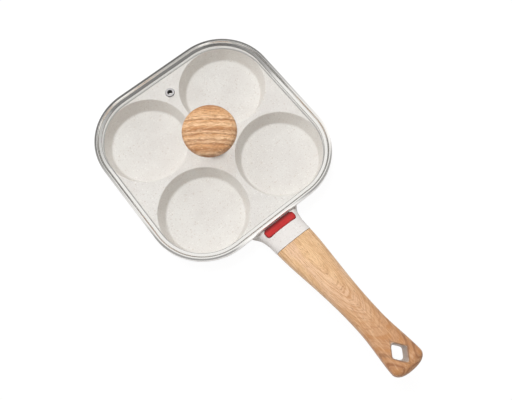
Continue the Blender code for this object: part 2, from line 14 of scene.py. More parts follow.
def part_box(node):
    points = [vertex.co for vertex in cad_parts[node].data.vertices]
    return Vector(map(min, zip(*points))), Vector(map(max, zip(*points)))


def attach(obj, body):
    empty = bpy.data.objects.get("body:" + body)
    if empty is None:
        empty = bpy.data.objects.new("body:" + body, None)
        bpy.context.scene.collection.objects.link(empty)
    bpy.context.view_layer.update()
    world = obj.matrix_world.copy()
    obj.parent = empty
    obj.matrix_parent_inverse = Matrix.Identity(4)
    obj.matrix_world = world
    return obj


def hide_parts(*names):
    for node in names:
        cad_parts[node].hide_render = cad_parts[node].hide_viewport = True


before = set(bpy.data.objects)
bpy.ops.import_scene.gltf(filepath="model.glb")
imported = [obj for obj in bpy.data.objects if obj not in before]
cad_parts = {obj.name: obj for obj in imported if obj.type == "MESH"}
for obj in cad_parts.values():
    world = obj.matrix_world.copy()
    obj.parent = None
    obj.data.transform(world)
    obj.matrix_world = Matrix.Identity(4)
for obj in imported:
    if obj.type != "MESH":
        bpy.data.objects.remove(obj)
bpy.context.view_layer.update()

MM = 0.001
GRIP_SHORTER = 0.26 * MM

# Sizes read from the frame
PAN_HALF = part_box("pan_body")[1].y
RING_TOP_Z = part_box("lid_rim")[1].z
RING_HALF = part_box("lid_rim")[1].y
GLASS_LOW_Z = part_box("lid_glass")[0].z
GLASS_TOP_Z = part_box("lid_glass")[1].z
GLASS_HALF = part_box("lid_glass")[1].y
SEAM_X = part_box("handle_bracket")[1].x
GRIP_START_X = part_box("handle_grip")[0].x
GRIP_END_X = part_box("handle_grip")[1].x - GRIP_SHORTER
KNOB_LOW_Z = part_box("knob")[0].z
KNOB_TOP_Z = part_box("knob")[1].z
KNOB_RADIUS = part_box("knob")[1].y


def centre_of(node):
    low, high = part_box(node)
    return (low + high) / 2


VENT_X = centre_of("vent_eyelet").x
INSET_CENTRE = centre_of("bracket_inset")
INSERT_CENTRE = centre_of("tongue_insert")

# Pan casting
FLOOR_THICKNESS = 3.5 * MM
CUP_RADIUS = 43.4 * MM
CUP_DRAFT = 4.1 * MM
CUP_DEPTH = 16.1 * MM
CUP_LIP = 1.1 * MM
CUP_FILLET = 2.4 * MM
CUP_WALL = 3.4 * MM
CUP_OFFSET = 46.3 * MM
CUP_CENTRES = [(sx * CUP_OFFSET, sy * CUP_OFFSET) for sx in (-1, 1) for sy in (-1, 1)]
LAND_Z = FLOOR_THICKNESS + CUP_DEPTH
LAND_THICKNESS = 4.2 * MM
RIM_TOP_Z = LAND_Z + 6.5 * MM
RIM_WALL = 3.0 * MM
RIM_ROUND = 1.0 * MM
RIM_INNER_ROUND = 0.6 * MM
LAND_FILLET = 1.4 * MM
PAN_CORNER = 55.8 * MM
WALL_DRAFT = 4.9 * MM
FOOT_ROUND = 4.0 * MM
SKIRT_WALL = 4.2 * MM
SKIRT_DRAFT = 0.8 * MM
HOLLOW_ROUND = 2.0 * MM
HUB_RADIUS = 11.0 * MM
DIMPLE_RADIUS = 10.0 * MM
DIMPLE_DEPTH = 2.8 * MM

# Handle
HANDLE_SLOPE = math.radians(21.0)
AXIS = Vector((math.cos(HANDLE_SLOPE), 0, math.sin(HANDLE_SLOPE)))
OFF_AXIS = Vector((-AXIS.z, 0, AXIS.x))
SEAM_Z = INSERT_CENTRE.z - (INSERT_CENTRE.x - SEAM_X) * math.tan(HANDLE_SLOPE)
SEAM_CENTRE = Vector((SEAM_X, 0, SEAM_Z))
TONGUE_WIDTH = 20.0 * MM
TONGUE_THICKNESS = 6.0 * MM
TONGUE_IN_PAN = 34.3 * MM
TONGUE_IN_GRIP = 20.7 * MM
TONGUE_ROUND = 0.8 * MM
SOCKET_GAP = 0.3 * MM
INSERT_RADIUS = 3.7 * MM
BRACKET_HALF_WIDTH = 19.2 * MM
BRACKET_HALF_THICKNESS = 9.3 * MM
BRACKET_SWELL = 0.5 * MM
BRACKET_IN_WALL = 1.2 * MM
FLARE = 7.6 * MM
FLARE_LENGTH = 8.0 * MM
INSET_WIDTH = 9.6 * MM
INSET_LENGTH = 33.5 * MM
INSET_CORNER = 3.6 * MM
INSET_SUNK = 0.3 * MM
INSET_POCKET_DEPTH = 2.4 * MM
INSET_EDGE = 0.7 * MM
POCKET_GAP = 0.25 * MM
GRIP_RISE = 42.5 * MM
WAIST_X = SEAM_X + 94.5 * MM
WAIST_HALF_WIDTH = 12.2 * MM
TAIL_HALF_WIDTH = 15.2 * MM
WAIST_HALF_THICKNESS = 8.0 * MM
TAIL_HALF_THICKNESS = 7.15 * MM
WAIST_EASE = 0.8
END_CAP = 8.0 * MM
END_CAP_POWER = 2.4
SECTION_POWER = 2.9
GRIP_BEND = ((GRIP_END_X - SEAM_X) * math.tan(HANDLE_SLOPE) - GRIP_RISE) / (GRIP_END_X - SEAM_X) ** 2
SEAM_EDGE = 0.35 * MM
HANG_HOLE_X = GRIP_END_X - 16.6 * MM
HANG_HOLE_LOW = 17.6 * MM
HANG_HOLE_TOP = 20.0 * MM
HANG_HOLE_SHARE = 0.75
HANG_HOLE_CORNER = 2.8 * MM
HANG_HOLE_LIP = 1.3 * MM
SCREW_HEAD_RADIUS = 4.0 * MM
SCREW_HEAD_HEIGHT = 2.2 * MM
SCREW_HEAD_TOP = -6.9 * MM
SCREW_SHANK_RADIUS = 1.95 * MM
SCREW_TIP = 2.7 * MM
SCREW_SEAT = -5.5 * MM
SCREW_BORE_RADIUS = 4.6 * MM
SCREW_HOLE_RADIUS = 2.25 * MM
KNOB_SHANK_RADIUS = 2.4 * MM
RECESS_REACH = 1.2
RECESS_WIDTH = 0.26
RECESS_TAPER = 0.7

# Lid
SHEET = 0.6 * MM
BEAD_WIDTH = 3.9 * MM
BEAD_SLOPE = 2.3 * MM
BEAD_SIDE = 1.8 * MM
RING_SEAT_Z = RIM_TOP_Z + 0.3 * MM
WEB_OUTER = PAN_HALF - 93.6 * MM
WEB_INNER = WEB_OUTER + SHEET
CREASE = 0.4 * MM
LIP_UPPER = 2.6 * MM
LIP_LOWER = 3.2 * MM
LIP_LEAN = 0.24 * MM
GLASS_GAP = 0.3 * MM
VENT_BORE = 2.2 * MM
VENT_BARREL = 3.2 * MM
VENT_FLANGE = 4.8 * MM
VENT_CRIMP = 3.5 * MM
VENT_CRIMP_THICKNESS = 0.5 * MM
KNOB_FOOT_RADIUS = 12.0 * MM
KNOB_FOOT_HEIGHT = 2.2 * MM
KNOB_SHOULDER = 22.5 * MM
KNOB_EDGE = 3.4 * MM
KNOB_CROWN = 2.6 * MM
KNOB_BORE = 4.5 * MM
KNOB_BORE_DEPTH = 13.3 * MM
COLLAR_RADIUS = 10.5 * MM
COLLAR_GROOVE = 0.35 * MM
STACK_BORE = 2.7 * MM
DISC_EDGE = 0.2 * MM

# How finely the shapes are cut
CORNER_STEPS = 28
CUP_STEPS = 144
TURN_STEPS = 96
SMALL_STEPS = 48
SECTION_STEPS = 14
FLARE_STATIONS = 22
GRIP_STATIONS = 44
CAP_STATIONS = 12
KNOB_STATIONS = 20
LIP_STEPS = 5
CUT_PAST = 2.0 * MM
SAME_POINT = 0.002 * MM
SMOOTH_ANGLE = math.radians(32)


# Building blocks

def primitive(add, name, scale=(1, 1, 1), **where):
    """Adds a primitive by itself, with its place and size in its mesh."""
    bpy.ops.object.select_all(action="DESELECT")
    add(**where)
    piece = bpy.context.object
    piece.name = piece.data.name = name
    piece.scale = scale
    bpy.ops.object.transform_apply(location=True, rotation=True, scale=True)
    return piece


@contextmanager
def editing(piece):
    """Opens a piece in edit mode with nothing selected."""
    bpy.ops.object.select_all(action="DESELECT")
    bpy.context.view_layer.objects.active = piece
    piece.select_set(True)
    bpy.ops.object.mode_set(mode="EDIT")
    bpy.ops.mesh.select_mode(type="VERT")
    bpy.ops.mesh.select_all(action="DESELECT")
    yield
    bpy.ops.object.mode_set(mode="OBJECT")


def select(piece, kind, wanted):
    """Selects the edges or faces of the edited piece that pass a test."""
    bpy.ops.mesh.select_mode(type=kind)
    bpy.ops.mesh.select_all(action="DESELECT")
    mesh = bmesh.from_edit_mesh(piece.data)
    for part in mesh.edges if kind == "EDGE" else mesh.faces:
        if wanted(part):
            part.select_set(True)
    bmesh.update_edit_mesh(piece.data)


def close_up(piece):
    """Merges doubled points and turns every face outwards."""
    with editing(piece):
        bpy.ops.mesh.select_all(action="SELECT")
        bpy.ops.mesh.remove_doubles(threshold=SAME_POINT)
        bpy.ops.mesh.normals_make_consistent(inside=False)
    return piece


def draw(name, points):
    """A chain of edges, drawn by extruding one point along it."""
    piece = primitive(bpy.ops.mesh.primitive_plane_add, name, size=MM, location=points[0])
    with editing(piece):
        bpy.ops.mesh.select_all(action="SELECT")
        bpy.ops.mesh.merge(type="CENTER")
        for here, there in zip(points, points[1:]):
            step = Vector(there) - Vector(here)
            bpy.ops.mesh.extrude_region_move(TRANSFORM_OT_translate={"value": step})
    return piece


def turned(name, outline, centre=(0.0, 0.0), steps=TURN_STEPS):
    """A body turned round an upright axis from its (radius, z) outline."""
    x, y = centre
    piece = draw(name, [(x + r, y, z) for r, z in outline])
    with editing(piece):
        bpy.ops.mesh.select_all(action="SELECT")
        bpy.ops.mesh.spin(steps=steps, angle=2 * math.pi, center=(x, y, 0), axis=(0, 0, 1))
    return close_up(piece)


def swept(name, outline, fill=True):
    """A body whose (inset, z) outline is drawn once and taken round the pan's rounded square."""
    run = PAN_HALF - PAN_CORNER
    piece = draw(name, [(-run, inset - PAN_HALF, z) for inset, z in outline])
    with editing(piece):
        bpy.ops.mesh.select_all(action="SELECT")
        for quarter in range(4):
            turn = Matrix.Rotation(math.radians(90) * quarter, 3, "Z")
            side = turn @ Vector((2 * run, 0, 0))
            pivot = turn @ Vector((run, -run, 0))
            bpy.ops.mesh.extrude_region_move(TRANSFORM_OT_translate={"value": side})
            bpy.ops.mesh.spin(steps=CORNER_STEPS, angle=-math.radians(90), center=pivot, axis=(0, 0, 1))
    close_up(piece)
    if fill:
        with editing(piece):
            bpy.ops.mesh.select_all(action="SELECT")
            bpy.ops.mesh.fill_holes(sides=0)
            bpy.ops.mesh.select_all(action="SELECT")
            bpy.ops.mesh.normals_make_consistent(inside=False)
    return piece


def apply_modifier(piece, kind, **settings):
    modifier = piece.modifiers.new(kind.lower(), kind)
    for name, value in settings.items():
        setattr(modifier, name, value)
    bpy.ops.object.select_all(action="DESELECT")
    bpy.context.view_layer.objects.active = piece
    piece.select_set(True)
    bpy.ops.object.modifier_apply(modifier=modifier.name)


def combine(piece, other, operation="DIFFERENCE"):
    """Cuts the other body out of a piece, or joins it on, and removes it."""
    apply_modifier(piece, "BOOLEAN", operation=operation, object=other)
    bpy.data.objects.remove(other)
    return piece


def shade(piece):
    """Smooth surfaces with crisp edges, flat faces kept flat."""
    bpy.ops.object.select_all(action="DESELECT")
    bpy.context.view_layer.objects.active = piece
    piece.select_set(True)
    bpy.ops.object.shade_smooth_by_angle(angle=SMOOTH_ANGLE)
    apply_modifier(piece, "WEIGHTED_NORMAL", keep_sharp=True)


def dress(piece, finish, body, slot, *nodes):
    """Gives a finished piece smooth shading, its material and its body, and hides the nodes that it stands
    for. The slot is not used.
    """
    shade(piece)
    piece.data.materials.clear()
    piece.data.materials.append(finish)
    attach(piece, body)
    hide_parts(*nodes)
    return piece


def arc(centre, radius_x, radius_z, start, end, steps):
    """Points (x, z) along an ellipse's arc, from one angle to another in degrees."""
    points = []
    for i in range(steps + 1):
        a = math.radians(start + (end - start) * i / steps)
        points.append((centre[0] + radius_x * math.cos(a), centre[1] + radius_z * math.sin(a)))
    return points


def rounded(centre, radius, start, end, steps):
    """Points (x, z) along a circle's arc."""
    return arc(centre, radius, radius, start, end, steps)


def ease(a, b, t):
    """Goes from a to b with no slope at either end."""
    t = min(max(t, 0.0), 1.0)
    return a + (b - a) * (0.5 - 0.5 * math.cos(math.pi * t))


def onto_handle(piece, place):
    """Moves a piece made upright at the origin to a point of the handle's sloping axis."""
    with editing(piece):
        bpy.ops.mesh.select_all(action="SELECT")
        bpy.ops.transform.rotate(value=HANDLE_SLOPE, orient_axis="Y", center_override=(0, 0, 0))
        bpy.ops.transform.translate(value=place)
    return piece


# Pan

def make_pan():
    outside = rounded((WALL_DRAFT + FOOT_ROUND, FOOT_ROUND), FOOT_ROUND, 270, 180, 8)
    rim = rounded((RIM_ROUND, RIM_TOP_Z - RIM_ROUND), RIM_ROUND, 180, 90, 6)
    inner = RIM_INNER_ROUND
    rim += rounded((RIM_WALL - inner, RIM_TOP_Z - inner), inner, 90, 0, 5)
    land = rounded((RIM_WALL + LAND_FILLET, LAND_Z + LAND_FILLET), LAND_FILLET, 180, 270, 7)
    pan = swept("pan_casting", outside + rim + land)
    combine(pan, make_tongue(), "UNION")
    for centre in CUP_CENTRES:
        combine(pan, cup_form(centre))
    dimple = rounded((DIMPLE_RADIUS - DIMPLE_DEPTH, LAND_Z), DIMPLE_DEPTH, 270, 360, 8)
    above = LAND_Z + CUT_PAST
    outline = [(0, LAND_Z - DIMPLE_DEPTH)] + dimple + [(DIMPLE_RADIUS, above), (0, above)]
    combine(pan, turned("dimple_form", outline))
    combine(pan, hollow_form())
    return pan


def tongue_bar(name, gap=0.0):
    """The sloping bar from inside the pan's wall to inside the grip, or with a gap the socket for it."""
    length = TONGUE_IN_PAN + TONGUE_IN_GRIP + gap
    bar = primitive(bpy.ops.mesh.primitive_cube_add, name, size=1,
                    scale=(length, TONGUE_WIDTH + 2 * gap, TONGUE_THICKNESS + 2 * gap))
    with editing(bar):
        select(bar, "EDGE", lambda e: abs((e.verts[0].co - e.verts[1].co).x) > length / 2)
        bpy.ops.mesh.bevel(offset=TONGUE_ROUND, segments=3)
    return onto_handle(bar, SEAM_CENTRE + AXIS * (TONGUE_IN_GRIP + gap - length / 2))


def make_tongue():
    """The cast bar that runs through the bracket into the grip, with the hole for the threaded insert."""
    tongue = tongue_bar("tongue")
    hole = primitive(bpy.ops.mesh.primitive_cylinder_add, "insert_hole", radius=INSERT_RADIUS,
                     depth=2 * TONGUE_THICKNESS, vertices=SMALL_STEPS)
    return combine(tongue, onto_handle(hole, INSERT_CENTRE))


def cup_form(centre):
    """The space inside a cup: a flat floor, a fillet, a drafted wall and a rounded lip."""
    floor_radius = CUP_RADIUS - CUP_DRAFT
    fillet = rounded((floor_radius - CUP_FILLET, FLOOR_THICKNESS + CUP_FILLET), CUP_FILLET, 270, 350, 8)
    mouth = CUP_RADIUS + CUP_LIP
    lip = rounded((mouth, LAND_Z - CUP_LIP), CUP_LIP, 180, 96, 8)
    above = LAND_Z + CUT_PAST
    outline = [(0, FLOOR_THICKNESS)] + fillet + lip + [(mouth + CUP_LIP, above), (0, above)]
    return turned("cup_form", outline, centre, CUP_STEPS)


def hollow_form():
    """The space under the land, between the skirt, the four cups and the hub in the middle."""
    side = WALL_DRAFT + SKIRT_WALL
    top = LAND_Z - LAND_THICKNESS
    roof = rounded((side + SKIRT_DRAFT + HOLLOW_ROUND, top - HOLLOW_ROUND), HOLLOW_ROUND, 180, 90, 5)
    hollow = swept("hollow_form", [(side, -CUT_PAST)] + roof)
    low, high = -2 * CUT_PAST, LAND_Z
    slope = CUP_DRAFT / CUP_DEPTH
    wide = CUP_RADIUS - CUP_DRAFT + CUP_WALL
    jacket = [(0, low), (wide + slope * low, low), (wide + slope * high, high), (0, high)]
    for centre in CUP_CENTRES:
        combine(hollow, turned("cup_jacket", jacket, centre, CUP_STEPS))
    hub = [(0, low), (HUB_RADIUS, low), (HUB_RADIUS + SKIRT_DRAFT, high), (0, high)]
    return combine(hollow, turned("hub_form", hub))


# Handle

def handle_section(name, centre, slope, half_width, half_thickness):
    """The first section of a handle piece, square to its slope: a square with bevelled corners."""
    piece = primitive(bpy.ops.mesh.primitive_plane_add, name, size=2, rotation=(0, math.radians(90), 0))
    with editing(piece):
        bpy.ops.mesh.select_all(action="SELECT")
        bpy.ops.mesh.bevel(affect="VERTICES", offset=1, segments=SECTION_STEPS,
                           profile=2 ** (-2 / SECTION_POWER))
        bpy.ops.mesh.select_all(action="SELECT")
        bpy.ops.mesh.remove_doubles(threshold=MM)
        bpy.ops.transform.resize(value=(1, half_width, half_thickness), center_override=(0, 0, 0))
        bpy.ops.transform.rotate(value=slope, orient_axis="Y", center_override=(0, 0, 0))
        bpy.ops.transform.translate(value=centre)
    return piece


def extrude_stations(piece, stations):
    """Extrudes a handle piece through its stations: (centre, slope, half width, half thickness)."""
    with editing(piece):
        bpy.ops.mesh.select_all(action="SELECT")
        for here, there in zip(stations, stations[1:]):
            centre = there[0]
            bpy.ops.mesh.extrude_region_move(TRANSFORM_OT_translate={"value": centre - here[0]})
            bpy.ops.transform.rotate(value=-here[1], orient_axis="Y", center_override=centre)
            grow = (1, there[2] / here[2], there[3] / here[3])
            bpy.ops.transform.resize(value=grow, center_override=centre)
            bpy.ops.transform.rotate(value=there[1], orient_axis="Y", center_override=centre)


def handle_body(name, stations):
    piece = handle_section(name, *stations[0])
    extrude_stations(piece, stations)
    return close_up(piece)


def trim(piece, x, keep_beyond):
    """Cuts a piece off at the upright plane x and closes the cut."""
    with editing(piece):
        bpy.ops.mesh.select_all(action="SELECT")
        bpy.ops.mesh.bisect(plane_co=(x, 0, 0), plane_no=(1, 0, 0), use_fill=True,
                            clear_inner=keep_beyond, clear_outer=not keep_beyond)
    return close_up(piece)


def soften_cut(piece, x, width):
    """Rounds the edge round the cut at x."""
    with editing(piece):
        select(piece, "EDGE", lambda e: all(abs(v.co.x - x) < SAME_POINT for v in e.verts))
        bpy.ops.mesh.bevel(offset=width, segments=3)


def make_bracket():
    wall_reach = (PAN_HALF - WALL_DRAFT / 2 - SEAM_X) / math.cos(HANDLE_SLOPE)
    start = wall_reach - 2 * BRACKET_HALF_THICKNESS
    end = BRACKET_HALF_THICKNESS
    stations = []
    for i in range(FLARE_STATIONS + 1):
        reach = start + (end - start) * i / FLARE_STATIONS
        fall = math.exp(-max(reach - wall_reach, 0.0) / FLARE_LENGTH)
        stations.append((SEAM_CENTRE + AXIS * reach, HANDLE_SLOPE, BRACKET_HALF_WIDTH + FLARE * fall,
                         BRACKET_HALF_THICKNESS + BRACKET_SWELL * fall))
    bracket = trim(handle_body("handle_sleeve", stations), SEAM_X, keep_beyond=False)
    soften_cut(bracket, SEAM_X, SEAM_EDGE)

    wall = [(WALL_DRAFT + BRACKET_IN_WALL, -CUT_PAST), (WALL_DRAFT + BRACKET_IN_WALL, FOOT_ROUND),
            (BRACKET_IN_WALL, RIM_TOP_Z), (BRACKET_IN_WALL, RIM_TOP_Z + 4 * CUT_PAST)]
    combine(bracket, swept("pan_side", wall))
    combine(bracket, tongue_bar("bracket_socket", SOCKET_GAP))
    combine(bracket, make_pill("inset_pocket", INSET_POCKET_DEPTH + CUT_PAST, CUT_PAST, POCKET_GAP))
    return bracket


def make_pill(name, height, above, grow=0.0):
    """A bar with round corners across the bracket, its top a height above the bracket's top face."""
    half_x, half_y = INSET_WIDTH / 2 + grow, INSET_LENGTH / 2 + grow
    pill = primitive(bpy.ops.mesh.primitive_plane_add, name, size=2, scale=(half_x, half_y, 1))
    with editing(pill):
        bpy.ops.mesh.select_all(action="SELECT")
        bpy.ops.mesh.bevel(affect="VERTICES", offset=INSET_CORNER + grow, segments=10)
        bpy.ops.mesh.select_all(action="SELECT")
        bpy.ops.mesh.extrude_region_move(TRANSFORM_OT_translate={"value": (0, 0, height)})
    close_up(pill)
    reach = (INSET_CENTRE - SEAM_CENTRE).dot(AXIS)
    base = SEAM_CENTRE + AXIS * reach + OFF_AXIS * (BRACKET_HALF_THICKNESS + above - height)
    return onto_handle(pill, base)


def make_inset():
    inset = make_pill("silicone_inset", INSET_POCKET_DEPTH - INSET_SUNK, -INSET_SUNK)
    top = (SEAM_CENTRE + OFF_AXIS * (BRACKET_HALF_THICKNESS - INSET_SUNK)).dot(OFF_AXIS)
    with editing(inset):
        select(inset, "EDGE", lambda e: all(abs(v.co.dot(OFF_AXIS) - top) < SAME_POINT for v in e.verts))
        bpy.ops.mesh.bevel(offset=INSET_EDGE, segments=5)
    return inset


def grip_height(x):
    """The centre height of the grip: it leaves the seam along the handle's slope and levels off."""
    run = x - SEAM_X
    return SEAM_Z + run * math.tan(HANDLE_SLOPE) - GRIP_BEND * run * max(run, 0.0)


def grip_slope(x):
    return math.atan(math.tan(HANDLE_SLOPE) - 2 * GRIP_BEND * max(x - SEAM_X, 0.0))


def grip_half_width(x):
    if x < WAIST_X:
        run = max(x - SEAM_X, 0.0) / (WAIST_X - SEAM_X)
        return ease(BRACKET_HALF_WIDTH, WAIST_HALF_WIDTH, run ** WAIST_EASE)
    return ease(WAIST_HALF_WIDTH, TAIL_HALF_WIDTH, (x - WAIST_X) / (GRIP_END_X - END_CAP / 2 - WAIST_X))


def grip_half_thickness(x):
    if x < WAIST_X:
        return ease(BRACKET_HALF_THICKNESS, WAIST_HALF_THICKNESS, (x - SEAM_X) / (WAIST_X - SEAM_X))
    return ease(WAIST_HALF_THICKNESS, TAIL_HALF_THICKNESS, (x - WAIST_X) / (GRIP_END_X - WAIST_X))


def grip_station(x, share=1.0):
    return (Vector((x, 0, grip_height(x))), grip_slope(x), grip_half_width(x) * share,
            grip_half_thickness(x) * share)


def make_grip():
    start = SEAM_X - BRACKET_HALF_THICKNESS
    body_end = GRIP_END_X - END_CAP
    stations = [grip_station(start + (body_end - start) * i / GRIP_STATIONS)
                for i in range(GRIP_STATIONS + 1)]
    for i in range(1, CAP_STATIONS + 1):
        out = math.sin(math.radians(88) * i / CAP_STATIONS)
        share = (1 - out ** END_CAP_POWER) ** (1 / END_CAP_POWER)
        stations.append(grip_station(body_end + END_CAP * out, share))
    grip = trim(handle_body("wood_look_grip", stations), GRIP_START_X, keep_beyond=True)
    soften_cut(grip, GRIP_START_X, SEAM_EDGE)

    low = -2 * BRACKET_HALF_THICKNESS
    bore = [(0, low), (SCREW_BORE_RADIUS, low), (SCREW_BORE_RADIUS, SCREW_SEAT),
            (SCREW_HOLE_RADIUS, SCREW_SEAT), (SCREW_HOLE_RADIUS, 0), (0, 0)]
    combine(grip, onto_handle(turned("screw_bore", bore, steps=SMALL_STEPS), INSERT_CENTRE))
    combine(grip, tongue_bar("grip_socket", SOCKET_GAP))
    combine(grip, hang_hole_form())
    return grip


def hang_hole_form():
    """The hang hole's space: a rhombus with round corners, wider at the top, with round lips."""
    half_l, half_w = HANG_HOLE_LOW / 2, HANG_HOLE_LOW * HANG_HOLE_SHARE / 2
    form = primitive(bpy.ops.mesh.primitive_circle_add, "hang_hole_form", vertices=4, radius=1,
                     fill_type="NGON", scale=(half_l, half_w, 1))
    for long_tip, half_angle in ((True, math.atan2(half_w, half_l)), (False, math.atan2(half_l, half_w))):
        with editing(form):
            mesh = bmesh.from_edit_mesh(form.data)
            for v in mesh.verts:
                out = abs(v.co.x) - half_l if long_tip else abs(v.co.y) - half_w
                v.select_set(out > -SAME_POINT)
            bmesh.update_edit_mesh(form.data)
            bpy.ops.mesh.bevel(affect="VERTICES", offset=HANG_HOLE_CORNER / math.tan(half_angle), segments=10)
    slope = grip_slope(HANG_HOLE_X)
    out = Vector((-math.sin(slope), 0, math.cos(slope)))
    middle_point = Vector((HANG_HOLE_X, 0, grip_height(HANG_HOLE_X)))
    face = grip_half_thickness(HANG_HOLE_X)
    rise = Vector((0, 0, face / math.cos(slope)))
    lip = HANG_HOLE_LIP
    top_l = HANG_HOLE_TOP / 2
    below, above = middle_point - rise, middle_point + rise
    turns = [math.radians(90 * i / LIP_STEPS) for i in range(LIP_STEPS + 1)]
    rings = [(below - out * CUT_PAST, half_l + lip)]
    rings += [(below + out * lip * (1 - math.cos(a)), half_l + lip * (1 - math.sin(a))) for a in turns]
    rings += [(above - out * lip * (1 - math.sin(a)), top_l + lip * (1 - math.cos(a))) for a in turns]
    rings.append((above + out * CUT_PAST, top_l + lip))
    with editing(form):
        bpy.ops.mesh.select_all(action="SELECT")
        bpy.ops.transform.resize(value=(rings[0][1] / half_l,) * 3, center_override=(0, 0, 0))
        bpy.ops.transform.rotate(value=slope, orient_axis="Y", center_override=(0, 0, 0))
        bpy.ops.transform.translate(value=rings[0][0])
        for (here, half), (there, wide) in zip(rings, rings[1:]):
            bpy.ops.mesh.extrude_region_move(TRANSFORM_OT_translate={"value": there - here})
            bpy.ops.transform.resize(value=(wide / half,) * 3, center_override=there)
    return close_up(form)


def make_handle_screw():
    """The screw from under the grip into the tongue's insert, made upright and then put on the slope."""
    return make_screw("grip_screw", SCREW_HEAD_RADIUS, SCREW_HEAD_TOP - SCREW_HEAD_HEIGHT, SCREW_HEAD_TOP,
                      SCREW_SHANK_RADIUS, SCREW_TIP, INSERT_CENTRE)


def make_knob_screw():
    low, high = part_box("knob_screw")
    return make_screw("knob_machine_screw", high.y, low.z, low.z + SCREW_HEAD_HEIGHT,
                      KNOB_SHANK_RADIUS, high.z)


def make_screw(name, head_radius, head_low, head_high, shank_radius, shank_high, place=None):
    """A pan-head screw with a cross recess, head down."""
    height = head_high - head_low
    dome = rounded((head_radius - height / 2, head_low + height / 2), height / 2, 270, 360, 6)
    outline = [(0, head_low)] + dome + [(head_radius, head_high), (shank_radius, head_high),
                                        (shank_radius, shank_high), (0, shank_high)]
    screw = turned(name, outline, steps=SMALL_STEPS)
    for arm in ((1, RECESS_WIDTH), (RECESS_WIDTH, 1)):
        reach = [share * head_radius * RECESS_REACH for share in arm]
        slot = primitive(bpy.ops.mesh.primitive_cube_add, "recess", size=1, location=(0, 0, head_low),
                         scale=(*reach, height))
        with editing(slot):
            select(slot, "FACE", lambda f: f.normal.z > 0.5)
            bpy.ops.transform.resize(value=(RECESS_TAPER, RECESS_TAPER, 1), center_override=(0, 0, head_low))
        combine(screw, slot)
    return onto_handle(screw, place) if place else screw


# Lid

def make_ring():
    """The rolled steel ring: a bead on the pan's rim, a web inside it and two lips for the glass."""
    half = SHEET / 2
    outer = PAN_HALF - RING_HALF
    crest = (outer + BEAD_SLOPE, RING_SEAT_Z + BEAD_SIDE)
    height = RING_TOP_Z - crest[1]
    bead = arc(crest, BEAD_SLOPE, height, 180, 90, 14)
    bead += arc(crest, BEAD_WIDTH - BEAD_SLOPE, height, 78, 12, 8)
    foot = rounded((outer + half, RING_SEAT_Z + half), half, 270, 180, 4)
    above, below = GLASS_TOP_Z + GLASS_GAP, GLASS_LOW_Z - GLASS_GAP
    glass_edge = PAN_HALF - GLASS_HALF
    crease = rounded((outer + BEAD_WIDTH + CREASE, above + SHEET + CREASE), CREASE, 200, 270, 4)
    tip = above - LIP_LEAN + half
    upper = crease + rounded((glass_edge + LIP_UPPER - half, tip), half, 84, -90, 8)
    lower = rounded((glass_edge + LIP_LOWER - half, below - half), half, 90, -90, 8)
    groove = [(WEB_INNER, above), (WEB_INNER, below)]
    web = rounded((WEB_OUTER + half, below - half), half, 270, 180, 4) + [(WEB_OUTER, RING_SEAT_Z)]
    outline = foot + bead + upper + groove + lower + web
    return swept("steel_ring", outline + outline[:1], fill=False)


def make_vent():
    low, high = GLASS_LOW_Z - GLASS_GAP, GLASS_TOP_Z + GLASS_GAP
    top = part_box("vent_eyelet")[1].z
    height = top - high
    roll = arc(((VENT_FLANGE + VENT_BORE) / 2, high), (VENT_FLANGE - VENT_BORE) / 2, height, 0, 180, 14)
    crimp = low - VENT_CRIMP_THICKNESS
    outline = [(VENT_BARREL, low), (VENT_BARREL, high)] + roll
    outline += [(VENT_BORE, crimp), (VENT_CRIMP, crimp), (VENT_CRIMP, low), (VENT_BARREL, low)]
    return turned("vent_ring", outline, (VENT_X, 0), SMALL_STEPS)


def make_knob():
    """The turned knob: a short foot, a flare to the widest ring, a round edge and a low crown."""
    foot_top = KNOB_LOW_Z + KNOB_FOOT_HEIGHT
    widest = KNOB_LOW_Z + KNOB_SHOULDER
    crown = KNOB_TOP_Z - KNOB_CROWN
    shoulder = KNOB_RADIUS - KNOB_EDGE
    bore_top = KNOB_LOW_Z + KNOB_BORE_DEPTH
    outline = [(0, bore_top), (KNOB_BORE, bore_top), (KNOB_BORE, KNOB_LOW_Z),
               (KNOB_FOOT_RADIUS - SHEET, KNOB_LOW_Z), (KNOB_FOOT_RADIUS, KNOB_LOW_Z + SHEET)]
    for i in range(KNOB_STATIONS + 1):
        t = i / KNOB_STATIONS
        outline.append((ease(KNOB_FOOT_RADIUS, KNOB_RADIUS, t), foot_top + (widest - foot_top) * t))
    outline += arc((shoulder, widest), KNOB_EDGE, crown - widest, 8, 72, 8)
    outline += arc((0, crown), shoulder, KNOB_CROWN, 16, 90, 16)
    return turned("wood_look_knob", outline)


def make_collar():
    """The steel collar under the knob, with a shallow turned groove."""
    low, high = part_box("knob_collar")[0].z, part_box("knob_collar")[1].z
    edge, groove = SHEET, COLLAR_GROOVE
    mid = (low + high) / 2
    outline = [(STACK_BORE, low), (COLLAR_RADIUS - edge / 2, low), (COLLAR_RADIUS, low + edge / 2),
               (COLLAR_RADIUS, mid - 2 * groove), (COLLAR_RADIUS - groove, mid - groove),
               (COLLAR_RADIUS - groove, mid + groove), (COLLAR_RADIUS, mid + 2 * groove)]
    outline += rounded((COLLAR_RADIUS - edge, high - edge), edge, 0, 90, 5)
    outline += [(STACK_BORE, high), (STACK_BORE, low)]
    return turned("steel_collar", outline)


def make_disc(name, node):
    """A turned washer or gasket with softened edges, the size of its node."""
    low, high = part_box(node)
    radius, edge = high.y, DISC_EDGE
    outline = [(STACK_BORE, low.z), (radius - edge, low.z)]
    outline += rounded((radius - edge, low.z + edge), edge, 270, 360, 3)[1:]
    outline += rounded((radius - edge, high.z - edge), edge, 0, 90, 3)
    outline += [(STACK_BORE, high.z), (STACK_BORE, low.z)]
    return turned(name, outline, steps=SMALL_STEPS)


# Materials

